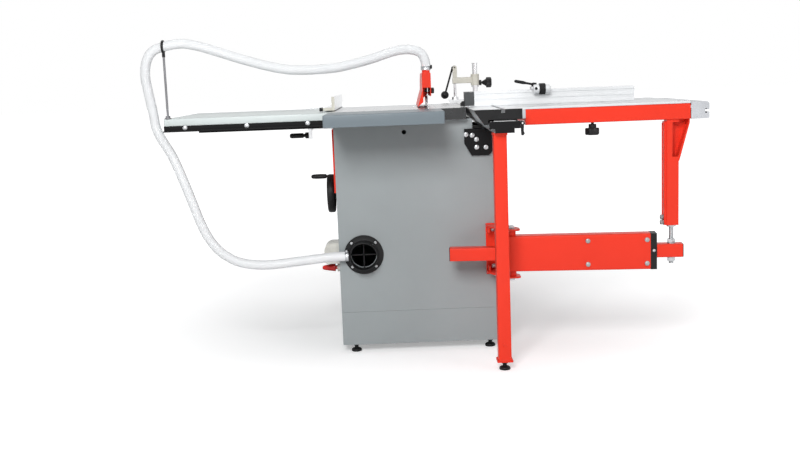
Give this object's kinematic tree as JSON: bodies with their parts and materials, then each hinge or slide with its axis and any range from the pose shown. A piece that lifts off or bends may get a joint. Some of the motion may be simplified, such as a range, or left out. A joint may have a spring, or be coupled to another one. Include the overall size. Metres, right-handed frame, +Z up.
{
  "type": "sliding table saw",
  "caption": "Cabinet table saw with a long sliding table, cross-cut table on a telescopic swing arm, tilting blade, guard with clear dust hose, rip side and hold-down clamp.",
  "frame": {"origin": "middle of the footprint on the floor, between the end of the rip extension and the end of the cross-cut table, halfway along the sliding table", "axes": "+X from the rip side to the cross-cut table, +Y along the slide from the outfeed end to the operator, +Z up"},
  "size_m": [1.948, 1.61, 1.161],
  "materials": {
    "cabinet_grey": "semi-gloss powder coat",
    "plinth_grey": "semi-gloss powder coat",
    "sheet_grey": "semi-gloss powder coat",
    "signal_red": "gloss powder coat",
    "pale_sheet": "satin paint",
    "cast_table": "ground",
    "casting": "as cast",
    "black_metal": "satin paint",
    "aluminium": "extruded, anodised",
    "steel": "turned",
    "zinc": "zinc plated",
    "black_plastic": "moulded",
    "pale_plastic": "moulded",
    "red_plastic": "moulded",
    "clear_hose": "clear flexible tube",
    "pale_casting": "satin paint",
    "belt_rubber": "moulded"
  },
  "bodies": {
    "root": {"rear_panel": "cabinet_grey", "front_panel": "cabinet_grey", "side_panels": "cabinet_grey", "plinth": "plinth_grey", "levelling_feet": "black_plastic", "main_table": "cast_table", "table_insert": "aluminium", "trunnions": "casting", "outfeed_table": "sheet_grey", "rip_extension": "pale_sheet", "rear_rail": "black_metal", "front_rail": "black_metal", "fasteners": "zinc", "tilt_panel": "signal_red", "slide_brackets": "black_metal", "slide_rail": "aluminium", "guide_rods": "steel", "rail_legs": "signal_red", "dust_port": "black_plastic", "hose_rod": "zinc", "hose_ring": "black_plastic", "guard_hose": "clear_hose", "arm_bracket": "signal_red", "switch_box": "pale_plastic"},
    "stop_button": {"stop_button": "red_plastic"},
    "tilt_wheel": {"tilt_handwheel": "black_plastic"},
    "lift_wheel": {"lift_handwheel": "black_plastic"},
    "lock_lever": {"lock_lever": "black_plastic"},
    "slide": {"sliding_table": "aluminium", "slide_fittings": "black_plastic", "crosscut_frame": "signal_red", "frame_profiles": "aluminium", "crosscut_deck": "pale_sheet", "support_post": "signal_red", "clamp_column": "steel"},
    "deck_knob": {"deck_knob": "black_plastic"},
    "clamp_arm": {"clamp_arm": "pale_casting"},
    "clamp_rod": {"clamp_rod": "steel"},
    "clamp_lever": {"clamp_lever": "black_plastic"},
    "arm": {"arm_box": "signal_red", "arm_guides": "black_plastic"},
    "arm_tube": {"arm_tube": "signal_red", "support_screw": "zinc"},
    "fence": {"crosscut_fence": "aluminium", "fence_shoe": "black_plastic"},
    "stop_carrier": {"stop_carrier": "aluminium"},
    "flip_finger": {"flip_finger": "aluminium"},
    "stop_lever": {"stop_lever": "black_plastic"},
    "rip_fence": {"rip_fence": "aluminium"},
    "rip_lever": {"rip_lever": "black_plastic"},
    "tilt": {"tilt_cradle": "casting", "splitter": "steel", "blade_guard": "signal_red"},
    "guard_knob": {"guard_knob": "black_plastic"},
    "lift": {"arbor_carriage": "casting", "motor": "casting", "drive_belt": "belt_rubber"},
    "arbor": {"saw_arbor": "steel", "saw_blade": "steel"},
    "rotor": {"motor_pulley": "steel"}
  },
  "joints": [
    {"name": "table_slide", "type": "slide", "parent": "root", "child": "slide", "axis": [0, 1, 0], "range_m": [0, 0.8]},
    {"name": "arm_swing", "type": "hinge", "parent": "root", "child": "arm", "pos_m": [0.274, -0.6, 0.375], "axis": [0, 0, 1], "range_deg": [-1, 60]},
    {"name": "tube_slide", "type": "slide", "parent": "arm", "child": "arm_tube", "axis": [0.9947, -0.1026, 0], "range_m": [-0.01, 0.38]},
    {"name": "fence_mitre", "type": "hinge", "parent": "slide", "child": "fence", "pos_m": [0.233, -0.4125, 0.884], "axis": [0, 0, 1], "range_deg": [-45, 45]},
    {"name": "stop_slide", "type": "slide", "parent": "fence", "child": "stop_carrier", "axis": [1, 0, 0], "range_m": [-0.16, 0.28]},
    {"name": "stop_flip", "type": "hinge", "parent": "stop_carrier", "child": "flip_finger", "pos_m": [0.401, -0.381, 0.9405], "axis": [1, 0, 0], "range_deg": [0, 140]},
    {"name": "stop_clamp", "type": "hinge", "parent": "stop_carrier", "child": "stop_lever", "pos_m": [0.388, -0.4125, 0.9465], "axis": [0, 0, 1], "range_deg": [-60, 60]},
    {"name": "clamp_swing", "type": "hinge", "parent": "slide", "child": "clamp_arm", "pos_m": [0.233, 0.31, 0.962], "axis": [0, 0, 1], "range_deg": [-90, 90]},
    {"name": "clamp_lever", "type": "hinge", "parent": "clamp_arm", "child": "clamp_lever", "pos_m": [0.146, 0.31, 1.03], "axis": [0, 1, 0], "range_deg": [0, 70]},
    {"name": "clamp_press", "type": "slide", "parent": "clamp_arm", "child": "clamp_rod", "axis": [0, 0, -1], "range_m": [0, 0.006]},
    {"name": "slide_lock", "type": "hinge", "parent": "root", "child": "lock_lever", "pos_m": [0.296, -0.79, 0.836], "axis": [0, 1, 0], "range_deg": [-60, 0]},
    {"name": "deck_knob", "type": "hinge", "parent": "slide", "child": "deck_knob", "pos_m": [0.549, -0.66, 0.8], "axis": [0, 0, 1], "continuous": true},
    {"name": "rip_slide", "type": "slide", "parent": "root", "child": "rip_fence", "axis": [1, 0, 0], "range_m": [-0.4, 0.24]},
    {"name": "rip_lock", "type": "hinge", "parent": "rip_fence", "child": "rip_lever", "pos_m": [-0.497, 0.171, 0.771], "axis": [1, 0, 0], "range_deg": [-60, 0]},
    {"name": "blade_tilt", "type": "hinge", "parent": "root", "child": "tilt", "pos_m": [0.004, -0.2, 0.884], "axis": [0, 1, 0], "range_deg": [0, 45], "deforming": ["guard_hose"]},
    {"name": "blade_lift", "type": "slide", "parent": "tilt", "child": "lift", "axis": [0, 0, 1], "range_m": [-0.08, 0]},
    {"name": "arbor_spin", "type": "hinge", "parent": "lift", "child": "arbor", "pos_m": [0.004, -0.2, 0.8115], "axis": [1, 0, 0], "continuous": true},
    {"name": "rotor_spin", "type": "hinge", "parent": "lift", "child": "rotor", "pos_m": [0.068, -0.2, 0.654], "axis": [1, 0, 0], "continuous": true},
    {"name": "tilt_wheel", "type": "hinge", "parent": "root", "child": "tilt_wheel", "pos_m": [-0.355, -0.21, 0.565], "axis": [1, 0, 0], "continuous": true},
    {"name": "lift_wheel", "type": "hinge", "parent": "root", "child": "lift_wheel", "pos_m": [-0.024, 0.05, 0.605], "axis": [0, 1, 0], "continuous": true},
    {"name": "stop_button", "type": "slide", "parent": "root", "child": "stop_button", "axis": [1, 0, 0], "range_m": [0, 0.006], "stiffness_N_per_m": 800},
    {"name": "guard_knob", "type": "hinge", "parent": "tilt", "child": "guard_knob", "pos_m": [0.017, -0.386, 0.946], "axis": [1, 0, 0], "continuous": true}
  ],
  "couplings": [
    {"joint": "arm_swing", "follows": "table_slide", "rad_per_m": 1.3039},
    {"joint": "tube_slide", "follows": "table_slide", "ratio": 0.469},
    {"joint": "clamp_press", "follows": "clamp_lever", "m_per_rad": 0.004911},
    {"joint": "rotor_spin", "follows": "arbor_spin", "ratio": 0.7},
    {"joint": "tilt_wheel", "follows": "blade_tilt", "ratio": 24},
    {"joint": "lift_wheel", "follows": "blade_lift", "rad_per_m": 1256.6}
  ]
}
